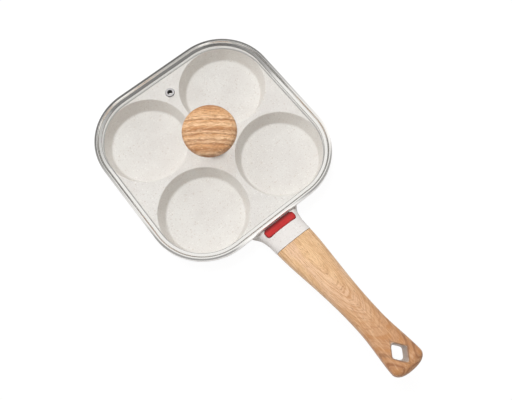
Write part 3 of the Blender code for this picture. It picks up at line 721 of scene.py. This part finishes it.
def srgb(red, green, blue):
    """A colour given as it looks on a screen, 0 to 255, as the linear numbers that a shader takes."""
    def linear(value):
        value /= 255
        return value / 12.92 if value <= 0.04045 else ((value + 0.055) / 1.055) ** 2.4
    return (linear(red), linear(green), linear(blue), 1.0)


class Value:
    """A node's output. An expression on values adds its Math nodes."""

    def __init__(self, graph, socket):
        self.graph = graph
        self.socket = socket

    def __add__(self, other):
        return self.graph.math("ADD", self, other)

    def __sub__(self, other):
        return self.graph.math("SUBTRACT", self, other)

    def __rsub__(self, other):
        return self.graph.math("SUBTRACT", other, self)

    def __mul__(self, other):
        return self.graph.math("MULTIPLY", self, other)

    def __truediv__(self, other):
        return self.graph.math("DIVIDE", self, other)

    def __pow__(self, other):
        return self.graph.math("POWER", self, other)

    def __abs__(self):
        return self.graph.math("ABSOLUTE", self)

    __radd__ = __add__
    __rmul__ = __mul__


class Graph:
    """A node tree that is filled node by node."""

    def __init__(self, tree):
        self.tree = tree

    def add(self, kind, settings=None, sockets=None, out=0):
        """Adds any node: its settings first, then the values or links of its sockets."""
        node = self.tree.nodes.new(kind)
        for name, value in (settings or {}).items():
            if name == "stops":
                set_stops(node.color_ramp.elements, value)
            else:
                setattr(node, name, value)
        for key, value in (sockets or {}).items():
            self.join(value, node.inputs[key])
        if isinstance(out, tuple):
            return [Value(self, node.outputs[key]) for key in out]
        return Value(self, node.outputs[out])

    def join(self, value, socket):
        if isinstance(value, Value):
            self.tree.links.new(value.socket, socket)
        else:
            socket.default_value = value

    def math(self, operation, a, b=0.0):
        return self.add("ShaderNodeMath", {"operation": operation}, {0: a, 1: b})

    def mix(self, share, a, b):
        return self.add("ShaderNodeMix", {"data_type": "RGBA"}, {0: share, 6: a, 7: b}, out=2)

    def axes(self, vector):
        return self.add("ShaderNodeSeparateXYZ", None, {0: vector}, out=(0, 1, 2))

    def place(self, shift=(0, 0, 0), turn=(0, 0, 0), scale=(1, 1, 1)):
        """Object coordinates in metres, moved to a new origin, then turned, then scaled."""
        here = self.add("ShaderNodeTexCoord", out="Object")
        here = self.add("ShaderNodeVectorMath", {"operation": "SUBTRACT"}, {0: here, 1: shift})
        here = self.add("ShaderNodeMapping", {"vector_type": "POINT"}, {"Vector": here, "Rotation": turn})
        return self.add("ShaderNodeVectorMath", {"operation": "MULTIPLY"}, {0: here, 1: scale})

    def noise(self, where, scale=1.0, detail=3.0, roughness=0.55):
        return self.add("ShaderNodeTexNoise", None,
                        {"Vector": where, "Scale": scale, "Detail": detail, "Roughness": roughness})

    def lines(self, level, scale, detail=2.0, roughness=0.5):
        """Noise along one level only, as in growth rings or turning marks."""
        return self.add("ShaderNodeTexNoise", {"noise_dimensions": "1D"},
                        {"W": level, "Scale": scale, "Detail": detail, "Roughness": roughness})

    def cells(self, where, size):
        """Scattered cells of about this size: the distance to each one's middle and a number of its own."""
        near, own = self.add("ShaderNodeTexVoronoi", None, {"Vector": where, "Scale": 1 / size}, out=(0, 1))
        return near, self.add("ShaderNodeSeparateColor", None, {0: own})

    def range(self, value, low, high, to_low=0.0, to_high=1.0):
        """Carries a value smoothly from one range to another, and holds it at the ends."""
        return self.add("ShaderNodeMapRange", {"interpolation_type": "SMOOTHSTEP"},
                        {0: value, 1: low, 2: high, 3: to_low, 4: to_high})


def set_stops(elements, stops):
    """Gives a colour ramp its stops, each a place and a colour."""
    while len(elements) < len(stops):
        elements.new(1.0)
    for element, (place, colour) in zip(elements, stops):
        element.position = place
        element.color = colour


class Finish(Graph):
    """A material on one Principled shader, whose constants are set on its sockets."""

    def __init__(self, name, **constants):
        self.material = bpy.data.materials.new(name)
        self.material.use_nodes = True
        super().__init__(self.material.node_tree)
        self.shader = self.tree.nodes["Principled BSDF"]
        self.principled = Value(self, self.shader.outputs[0])
        for socket, value in constants.items():
            self.shader.inputs[socket.replace("_", " ")].default_value = value

    def colour(self, value):
        self.join(value, self.shader.inputs["Base Color"])

    def roughness(self, value):
        self.join(value, self.shader.inputs["Roughness"])

    def bump(self, height, strength, distance):
        normal = self.add("ShaderNodeBump", None,
                          {"Strength": strength, "Distance": distance, "Height": height})
        self.join(normal, self.shader.inputs["Normal"])

    def glow(self, strength):
        return self.add("ShaderNodeEmission", None, {"Color": (1, 1, 1, 1), "Strength": strength})

    def blend(self, share, first, second):
        return self.add("ShaderNodeMixShader", None, {0: share, 1: first, 2: second})

    def surface(self, value):
        self.join(value, self.tree.nodes["Material Output"].inputs["Surface"])


def speckled_coating():
    """Warm white non-stick coating with fine flecks and a faint pebbled skin."""
    finish = Finish("speckled_coating", Specular_IOR_Level=0.35)
    here = finish.place()
    cloud = finish.noise(here, 40.0)
    base = finish.mix(finish.range(cloud, 0.3, 0.7), srgb(230, 226, 220), srgb(236, 233, 227))
    flecks = ((3.4, 0.55, 0.20, srgb(206, 194, 180)), (2.0, 0.45, 0.26, srgb(209, 201, 193)),
              (2.6, 0.50, 0.26, srgb(253, 251, 245)), (1.3, 0.40, 0.32, srgb(214, 208, 201)))
    for size, chance, reach, fleck in flecks:
        near, own = finish.cells(here, size * MM)
        spot = finish.range(near, reach * 0.6, reach * 1.3, 1.0, 0.0)
        spot = spot * finish.range(own, chance, chance - 0.1)
        base = finish.mix(spot * 0.55, base, fleck)
    finish.colour(base)
    pebble = finish.noise(here, 800.0, 2.0)
    finish.bump(pebble + cloud * 0.5, 0.15, 0.12 * MM)
    finish.roughness(finish.range(finish.noise(here, 120.0), 0.3, 0.7, 0.42, 0.55))
    return finish.material


def polished_steel():
    """Bright rolled steel with faint marks from polishing, a painted shade line at its lip's inner edge, and
    duller underneath.
    """
    finish = Finish("polished_steel", Metallic=1.0)
    here = finish.place()
    x, y, z = finish.axes(here)
    under = finish.range(z, GLASS_LOW_Z, GLASS_TOP_Z, 1.0, 0.0)
    run = PAN_HALF - PAN_CORNER
    beyond, beside = finish.math("MAXIMUM", abs(x) - run, 0.0), finish.math("MAXIMUM", abs(y) - run, 0.0)
    inset = PAN_CORNER - (beyond * beyond + beside * beside) ** 0.5
    lip = PAN_HALF - GLASS_HALF + LIP_UPPER
    # Painted shade: the steel darkens from near the upper lip's inner edge inwards.
    edge = finish.range(inset, lip - 0.7 * MM, lip - 0.2 * MM)
    finish.colour(finish.mix(edge * 0.5, srgb(238, 236, 232), srgb(104, 102, 97)))
    finish.join(1 - under * 0.7, finish.shader.inputs["Metallic"])
    marks = finish.noise(here, 220.0, 3.0)
    finish.roughness(finish.range(marks, 0.3, 0.7, 0.09, 0.15) + under * 0.4)
    finish.bump(finish.noise(here, 45.0, 2.0), 0.1, 0.03 * MM)
    return finish.material


def turned_metal(name, centre, bore, colour, roughness, edge=1.0, metallic=1.0):
    """Metal with fine turning marks round an upright axis, with painted shade in its bore and at its edge.

    The painted shade at the edge is darkest on the handle's side.
    """
    finish = Finish(name, Metallic=metallic)
    x, y, z = finish.axes(finish.place(shift=centre))
    radius = (x * x + y * y) ** 0.5
    marks = finish.lines(radius + z * 0.7, 5000.0)
    # Painted shade in the bore, and a painted dark line round the outer edge that is darker on the handle's
    # side.
    inside = finish.range(radius, bore * 1.05, bore * 1.3, 1.0, 0.0)
    line = finish.range(radius, edge * 0.84, edge * 0.94) * finish.range(x, -edge, edge, 0.35, 0.95)
    dark = finish.math("MAXIMUM", inside, line)
    finish.colour(finish.mix(dark, colour, srgb(22, 21, 21)))
    finish.roughness(finish.range(marks, 0.3, 0.7, roughness * 0.8, roughness * 1.25) + inside * 0.3)
    finish.bump(marks, 0.12, 0.02 * MM)
    return finish.material


def clear_glass():
    """Clear flat glass: nearly all see-through, and more of a mirror at a slant."""
    finish = Finish("clear_tempered_glass", Metallic=1.0, Base_Color=(1, 1, 1, 1))
    smudge = finish.noise(finish.place(), 25.0, 2.0)
    finish.roughness(finish.range(smudge, 0.35, 0.75, 0.02, 0.06))
    slant = finish.add("ShaderNodeLayerWeight", None, {"Blend": 0.5}, out="Facing")
    mirror = slant ** 5 * 0.9 + 0.012
    clear = finish.add("ShaderNodeBsdfTransparent", None, {"Color": (0.997, 0.998, 0.995, 1.0)})
    finish.surface(finish.blend(mirror, clear, finish.principled))
    return finish.material


def grip_wood():
    """Pale wood figure of the grip: rings round a line that sinks aft, so that the arches point aft."""
    finish = Finish("wood_look_grip", Coat_Weight=0.1, Coat_Roughness=0.35)
    sink = 0.02
    slope = grip_slope(SEAM_X + 60 * MM)
    start = SEAM_CENTRE + Vector((0, 0, BRACKET_HALF_THICKNESS))
    turn = (0, slope - sink, 0)
    along, side, up = finish.axes(finish.place(start, turn))
    up = up + along * along
    sway = finish.noise(finish.place(start, turn, (18, 70, 70)), detail=2.0) - 0.5
    ripple = finish.noise(finish.place(start, turn, (80, 300, 300)), detail=3.0) - 0.5
    radius = (side * side + up * up) ** 0.5 * 1000 + sway * 4.5 + ripple * 0.6
    rings = finish.lines(radius, 0.9, roughness=0.65)
    lines = finish.lines(radius + 40, 2.6, detail=1.0)
    fibre = finish.noise(finish.place(start, turn, (90, 1100, 1100)), detail=3.0)
    pores = finish.noise(finish.place(start, turn, (260, 2600, 2600)), detail=1.0)
    blotch = finish.noise(finish.place(start, turn, (20, 60, 60)), detail=1.0)
    aft = finish.range(along, 8 * MM, 140 * MM)
    base = finish.mix(aft, srgb(238, 199, 150), srgb(201, 149, 106))
    base = finish.mix(finish.range(blotch, 0.5, 0.66) * (1 - aft) * 0.5, base, srgb(246, 212, 184))
    base = finish.mix(finish.range(rings, 0.48, 0.66) * (0.5 + aft * 0.2), base, srgb(192, 132, 76))
    base = finish.mix(finish.range(lines, 0.54, 0.68) * 0.5, base, srgb(180, 122, 74))
    for place, width in ((18.4, 0.6), (20.3, 0.55), (22.6, 0.5)):
        band = finish.range(abs(radius - place), width * 0.3, width, 1.0, 0.0)
        base = finish.mix(band * aft * 0.7, base, srgb(142, 88, 50))
    base = finish.mix(finish.range(fibre, 0.5, 0.66) * 0.42, base, srgb(190, 134, 84))
    base = finish.mix(finish.range(fibre, 0.48, 0.36) * 0.3, base, srgb(252, 216, 172))
    base = finish.mix(finish.range(pores, 0.58, 0.70) * 0.5, base, srgb(150, 98, 60))
    along_hole, across_hole = finish.axes(finish.place(Vector((HANG_HOLE_X, 0, 0))))[:2]
    along_hole = abs(along_hole)
    reach = along_hole + abs(across_hole) / HANG_HOLE_SHARE
    edge = HANG_HOLE_TOP / 2 + 0.6 * MM
    wall = finish.range(reach, edge, edge - MM) * finish.range(along_hole, edge - MM, edge - 2 * MM)
    base = finish.mix(wall * 0.75, base, srgb(190, 180, 168))
    # Painted shade: a thin dark line round the hang hole's lip.
    rim = finish.range(abs(reach - edge - 0.3 * MM), 0.2 * MM, 0.8 * MM, 1.0, 0.0)
    base = finish.mix(rim * 0.55, base, srgb(124, 98, 76))
    finish.colour(base)
    finish.roughness(finish.range(fibre, 0.3, 0.7, 0.38, 0.52))
    finish.bump(fibre * 0.6 - rings * 0.5, 0.12, 0.12 * MM)
    return finish.material


def knob_wood():
    """Banded wood figure across the knob, a little bowed, with dark late wood and fine fibres."""
    finish = Finish("wood_look_knob", Coat_Weight=0.08, Coat_Roughness=0.35)
    turn = (0, 0, -math.radians(52))
    along, across, up = finish.axes(finish.place(turn=turn))
    sway = finish.noise(finish.place(turn=turn, scale=(16, 60, 60)), detail=2.0) - 0.5
    ripple = finish.noise(finish.place(turn=turn, scale=(90, 330, 330)), detail=3.0) - 0.5
    level = (across + along * along * 2.5 + up * 0.25) * 1000 + sway * 4.5 + ripple * 2.6
    light, tan, dark = srgb(246, 207, 161), srgb(226, 172, 119), srgb(172, 113, 68)
    bands = finish.add("ShaderNodeValToRGB", {"stops": (
        (0.00, tan), (0.10, dark), (0.14, light), (0.20, dark), (0.27, tan), (0.30, dark), (0.34, light),
        (0.385, dark), (0.42, light), (0.48, tan), (0.51, dark), (0.545, light), (0.60, dark), (0.66, tan),
        (0.70, light), (0.785, tan), (0.80, dark), (0.83, light), (0.93, tan), (1.00, dark))},
        {0: finish.range(level, -24, 44, 0.0, 1.0)})
    fibre = finish.noise(finish.place(turn=turn, scale=(150, 1000, 1000)), detail=4.0, roughness=0.7)
    pores = finish.noise(finish.place(turn=turn, scale=(300, 1700, 1700)), detail=2.0)
    fade = finish.noise(finish.place(turn=turn, scale=(45, 260, 260)), detail=3.0)
    lines = finish.lines(level, 0.55)
    base = finish.mix(finish.range(fade, 0.45, 0.75) * 0.6, bands, tan)
    base = finish.mix(finish.range(lines, 0.54, 0.66) * 0.42, base, dark)
    base = finish.mix(finish.range(fibre, 0.5, 0.60) * 0.55, base, srgb(184, 122, 72))
    base = finish.mix(finish.range(fibre, 0.48, 0.38) * 0.55, base, srgb(255, 220, 178))
    base = finish.mix(finish.range(pores, 0.56, 0.66) * 0.5, base, srgb(140, 90, 54))
    finish.colour(base)
    finish.roughness(finish.range(fibre, 0.3, 0.7, 0.42, 0.56))
    finish.bump(fibre, 0.15, 0.12 * MM)
    return finish.material


def moulded(name, colour, deeper, roughness, painted_shade_colour=None):
    """Moulded silicone: nearly plain, with a fine matte skin. The inset gets painted shade at its edges,
    darkest on the pan's side.
    """
    finish = Finish(name)
    here = finish.place()
    base = finish.mix(finish.range(finish.noise(here, 140.0), 0.3, 0.7), colour, deeper)
    if painted_shade_colour:
        # Painted shade: the ring's shadow on the pan's side, and a darker line round the edges.
        along, across = finish.axes(finish.place(INSET_CENTRE, (0, HANDLE_SLOPE, 0)))[:2]
        painted_inset_shade = finish.range(along, 4.8 * MM - INSET_WIDTH / 2, MM - INSET_WIDTH / 2, 0.0, 0.95)
        for reach, half in ((along, INSET_WIDTH / 2), (abs(across), INSET_LENGTH / 2)):
            edge = finish.range(reach, half - 1.5 * MM, half - 0.5 * MM, 0.0, 0.6)
            painted_inset_shade = finish.math("MAXIMUM", painted_inset_shade, edge)
        base = finish.mix(painted_inset_shade, base, painted_shade_colour)
    finish.colour(base)
    finish.roughness(finish.range(finish.noise(here, 300.0), 0.3, 0.7, roughness, roughness + 0.1))
    finish.bump(finish.noise(here, 1500.0, 2.0), 0.12, 0.05 * MM)
    return finish.material


# Studio

CAMERA_PLACE = Vector((189.5, -85.8, 510.5)) * MM
CAMERA_AIM = Vector((70.8, -2.9, 28.0)) * MM
CAMERA_ROLL = math.radians(-3.72)
CAMERA_LENS = 38.18
LAMP_AIM = Vector((0.05, 0, 0.03))
LAMP_TOWARDS = Vector((-0.27, -0.04, 1.0))
LAMP_DISTANCE = 1.3
LAMP_SIZE = 0.5
LAMP_POWER = 9.95
LAMP_COLOUR = (0.97, 1.025, 1.07)
AMBIENT = 0.44
AMBIENT_LEAN = 0.75
AMBIENT_TINT = (1.0, 0.915, 0.91, 1)
FLOOR_SIZE = 12
FLOOR_DROP = 0.2 * MM
FLOOR_LEVEL = 1.06
FLOOR_SHARE = 0.9
SCREEN_NEAR = 30 * MM
SCREEN_FAR = 60 * MM
SCREEN_HEIGHT = 260 * MM
CARD_PLACE = (-0.0825, 0.01, 0.09)
CARD_SIZE = (0.095, 0.12, 1)
CARD_LEVEL = 0.25


def make_camera():
    camera = bpy.data.objects.new("camera", bpy.data.cameras.new("camera"))
    bpy.context.scene.collection.objects.link(camera)
    ahead = (CAMERA_AIM - CAMERA_PLACE).normalized()
    level = ahead.cross(Vector((0, 0, 1))).normalized()
    above = level.cross(ahead)
    right = level * math.cos(CAMERA_ROLL) + above * math.sin(CAMERA_ROLL)
    up = above * math.cos(CAMERA_ROLL) - level * math.sin(CAMERA_ROLL)
    turn = Matrix((right, up, -ahead)).transposed().to_4x4()
    camera.matrix_world = Matrix.Translation(CAMERA_PLACE) @ turn
    camera.data.lens = CAMERA_LENS
    camera.data.clip_start = 0.01
    bpy.context.scene.camera = camera


def make_lamp():
    """A square soft lamp that is not mirrored in the lid."""
    lamp = bpy.data.objects.new("key", bpy.data.lights.new("key", "AREA"))
    bpy.context.scene.collection.objects.link(lamp)
    lamp.data.shape = "SQUARE"
    lamp.data.size = LAMP_SIZE
    lamp.data.energy = LAMP_POWER
    lamp.data.color = LAMP_COLOUR
    lamp.location = LAMP_AIM + LAMP_TOWARDS.normalized() * LAMP_DISTANCE
    lamp.rotation_mode = "QUATERNION"
    lamp.rotation_quaternion = (LAMP_AIM - lamp.location).to_track_quat("-Z", "Y")
    lamp.visible_glossy = False


def make_world():
    """Even soft light. What shines mirrors a bright ceiling and dimmer sides."""
    world = bpy.data.worlds.new("studio")
    bpy.context.scene.world = world
    world.use_nodes = True
    graph = Graph(world.node_tree)
    x, y, z = graph.axes(graph.add("ShaderNodeTexCoord", out="Generated"))
    seen, mirrored = graph.add("ShaderNodeLightPath", out=("Is Camera Ray", "Is Glossy Ray"))
    room = graph.range(z, 0.1, 0.8, 0.4, 1.0)
    soft = AMBIENT * (1 + (x * -0.99 + y * -0.13) * AMBIENT_LEAN)
    strength = seen + (1 - seen) * (mirrored * room + (1 - mirrored) * soft)
    back = world.node_tree.nodes["Background"]
    tint = graph.mix(graph.math("MAXIMUM", seen, mirrored), AMBIENT_TINT, (1, 1, 1, 1))
    graph.join(tint, back.inputs["Color"])
    graph.join(strength, back.inputs["Strength"])


def make_floor():
    """A white floor. The camera and mirrors see it as a bright backdrop that keeps a soft shadow."""
    floor = primitive(bpy.ops.mesh.primitive_plane_add, "floor", size=FLOOR_SIZE,
                      location=(0, 0, -FLOOR_DROP))
    finish = Finish("white_floor", Base_Color=(0.8, 0.8, 0.8, 1), Roughness=0.9, Specular_IOR_Level=0.0)
    rays = finish.add("ShaderNodeLightPath", out=("Is Camera Ray", "Is Glossy Ray", "Is Transmission Ray"))
    share = finish.math("MINIMUM", rays[0] + rays[1] + rays[2], 1.0) * FLOOR_SHARE
    finish.surface(finish.blend(share, finish.principled, finish.glow(FLOOR_LEVEL)))
    floor.data.materials.append(finish.material)


def show_in_mirrors(piece, finish, glow):
    """Makes a glowing studio piece that only what shines mirrors."""
    finish.surface(glow)
    piece.data.materials.append(finish.material)
    piece.visible_camera = piece.visible_diffuse = piece.visible_transmission = piece.visible_shadow = False


def make_screen():
    """A dark screen round the pan, darkest away from the handle, and a dark card over the lid.

    The screen is pale high up and at the floor, and darker low down at the handle's corners.
    """
    outline = [(-SCREEN_NEAR, MM), (-SCREEN_FAR, SCREEN_HEIGHT)]
    screen = swept("dark_screen", outline, fill=False)
    finish = Finish("screen_cloth")
    x, y, z = finish.axes(finish.place())
    shade = finish.range(x * -0.99 + y * 0.1, -0.08, 0.15, 1.25, 0.03)
    high = 1 - finish.range(x, -0.08, -0.13) * finish.range(y, -0.09, -0.02) * 0.68
    shade = shade + finish.range(z, 0.145, 0.185) * (high - shade)
    corner = finish.range(x - y * 0.26, 0.026, 0.07) * finish.range(abs(y), 0.02, 0.055)
    shade = shade * (1 - corner * finish.range(z, 0.19, 0.13) * 0.67)
    level = finish.math("MAXIMUM", shade, finish.range(z, 0.03, 0.07, 0.4, 0.0))
    show_in_mirrors(screen, finish, finish.glow(level))

    card = primitive(bpy.ops.mesh.primitive_plane_add, "dark_card", size=1, location=CARD_PLACE,
                     scale=CARD_SIZE)
    finish = Finish("card_cloth")
    show_in_mirrors(card, finish, finish.glow(CARD_LEVEL))


def main():
    coating = speckled_coating()
    steel = polished_steel()
    # The red silicone's last colour is the inset's painted shade.
    red = moulded("red_silicone", srgb(201, 44, 42), srgb(190, 36, 37), 0.45, srgb(108, 20, 22))
    clear = moulded("clear_silicone", srgb(226, 226, 222), srgb(214, 214, 210), 0.45)
    # The vent's bore and flange edge get painted shade.
    vent_steel = turned_metal("vent_steel", (VENT_X, 0, 0), VENT_BORE, srgb(244, 242, 240), 0.24,
                              VENT_FLANGE, metallic=0.45)
    collar_steel = turned_metal("collar_steel", (0, 0, 0), 0.5 * MM, srgb(205, 203, 200), 0.24)
    screw_steel = turned_metal("screw_steel", (0, 0, 0), 0.1 * MM, srgb(196, 194, 190), 0.3)
    brass = turned_metal("turned_brass", (0, 0, 0), 0.1 * MM, srgb(214, 178, 104), 0.3)
    grip_finish, knob_finish, glass_finish = grip_wood(), knob_wood(), clear_glass()

    dress(make_pan(), coating, "pan", "coating", "pan_body")
    dress(make_bracket(), coating, "pan", "coating", "handle_bracket")
    dress(make_inset(), red, "pan", "red_silicone", "bracket_inset")
    dress(make_grip(), grip_finish, "pan", "grip_wood_look", "handle_grip")
    dress(make_handle_screw(), screw_steel, "pan", "steel", "handle_screw")
    ring = dress(make_ring(), steel, "lid", "steel", "lid_rim")
    vent = dress(make_vent(), vent_steel, "lid", "steel", "vent_eyelet")
    knob = dress(make_knob(), knob_finish, "lid", "knob_wood_look", "knob")
    for piece in (ring, vent, knob):
        piece.visible_shadow = False
    ring.visible_diffuse = False
    dress(make_collar(), collar_steel, "lid", "steel", "knob_collar")
    for name, finish, slot, node in (
            ("silicone_gasket_top", clear, "clear_silicone", "knob_gasket_top"),
            ("silicone_gasket_under", clear, "clear_silicone", "knob_gasket_under"),
            ("knob_flat_washer", collar_steel, "steel", "knob_washer")):
        dress(make_disc(name, node), finish, "lid", slot, node)
    dress(make_knob_screw(), screw_steel, "lid", "steel", "knob_screw")
    for node, finish in (("lid_glass", glass_finish), ("tongue_insert", screw_steel),
                         ("handle_washer", screw_steel), ("knob_insert", brass)):
        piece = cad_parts[node]
        piece.data.materials.clear()
        piece.data.materials.append(finish)

    make_camera()
    make_world()
    make_lamp()
    make_floor()
    make_screen()
    bpy.context.scene.view_settings.view_transform = "Standard"


main()
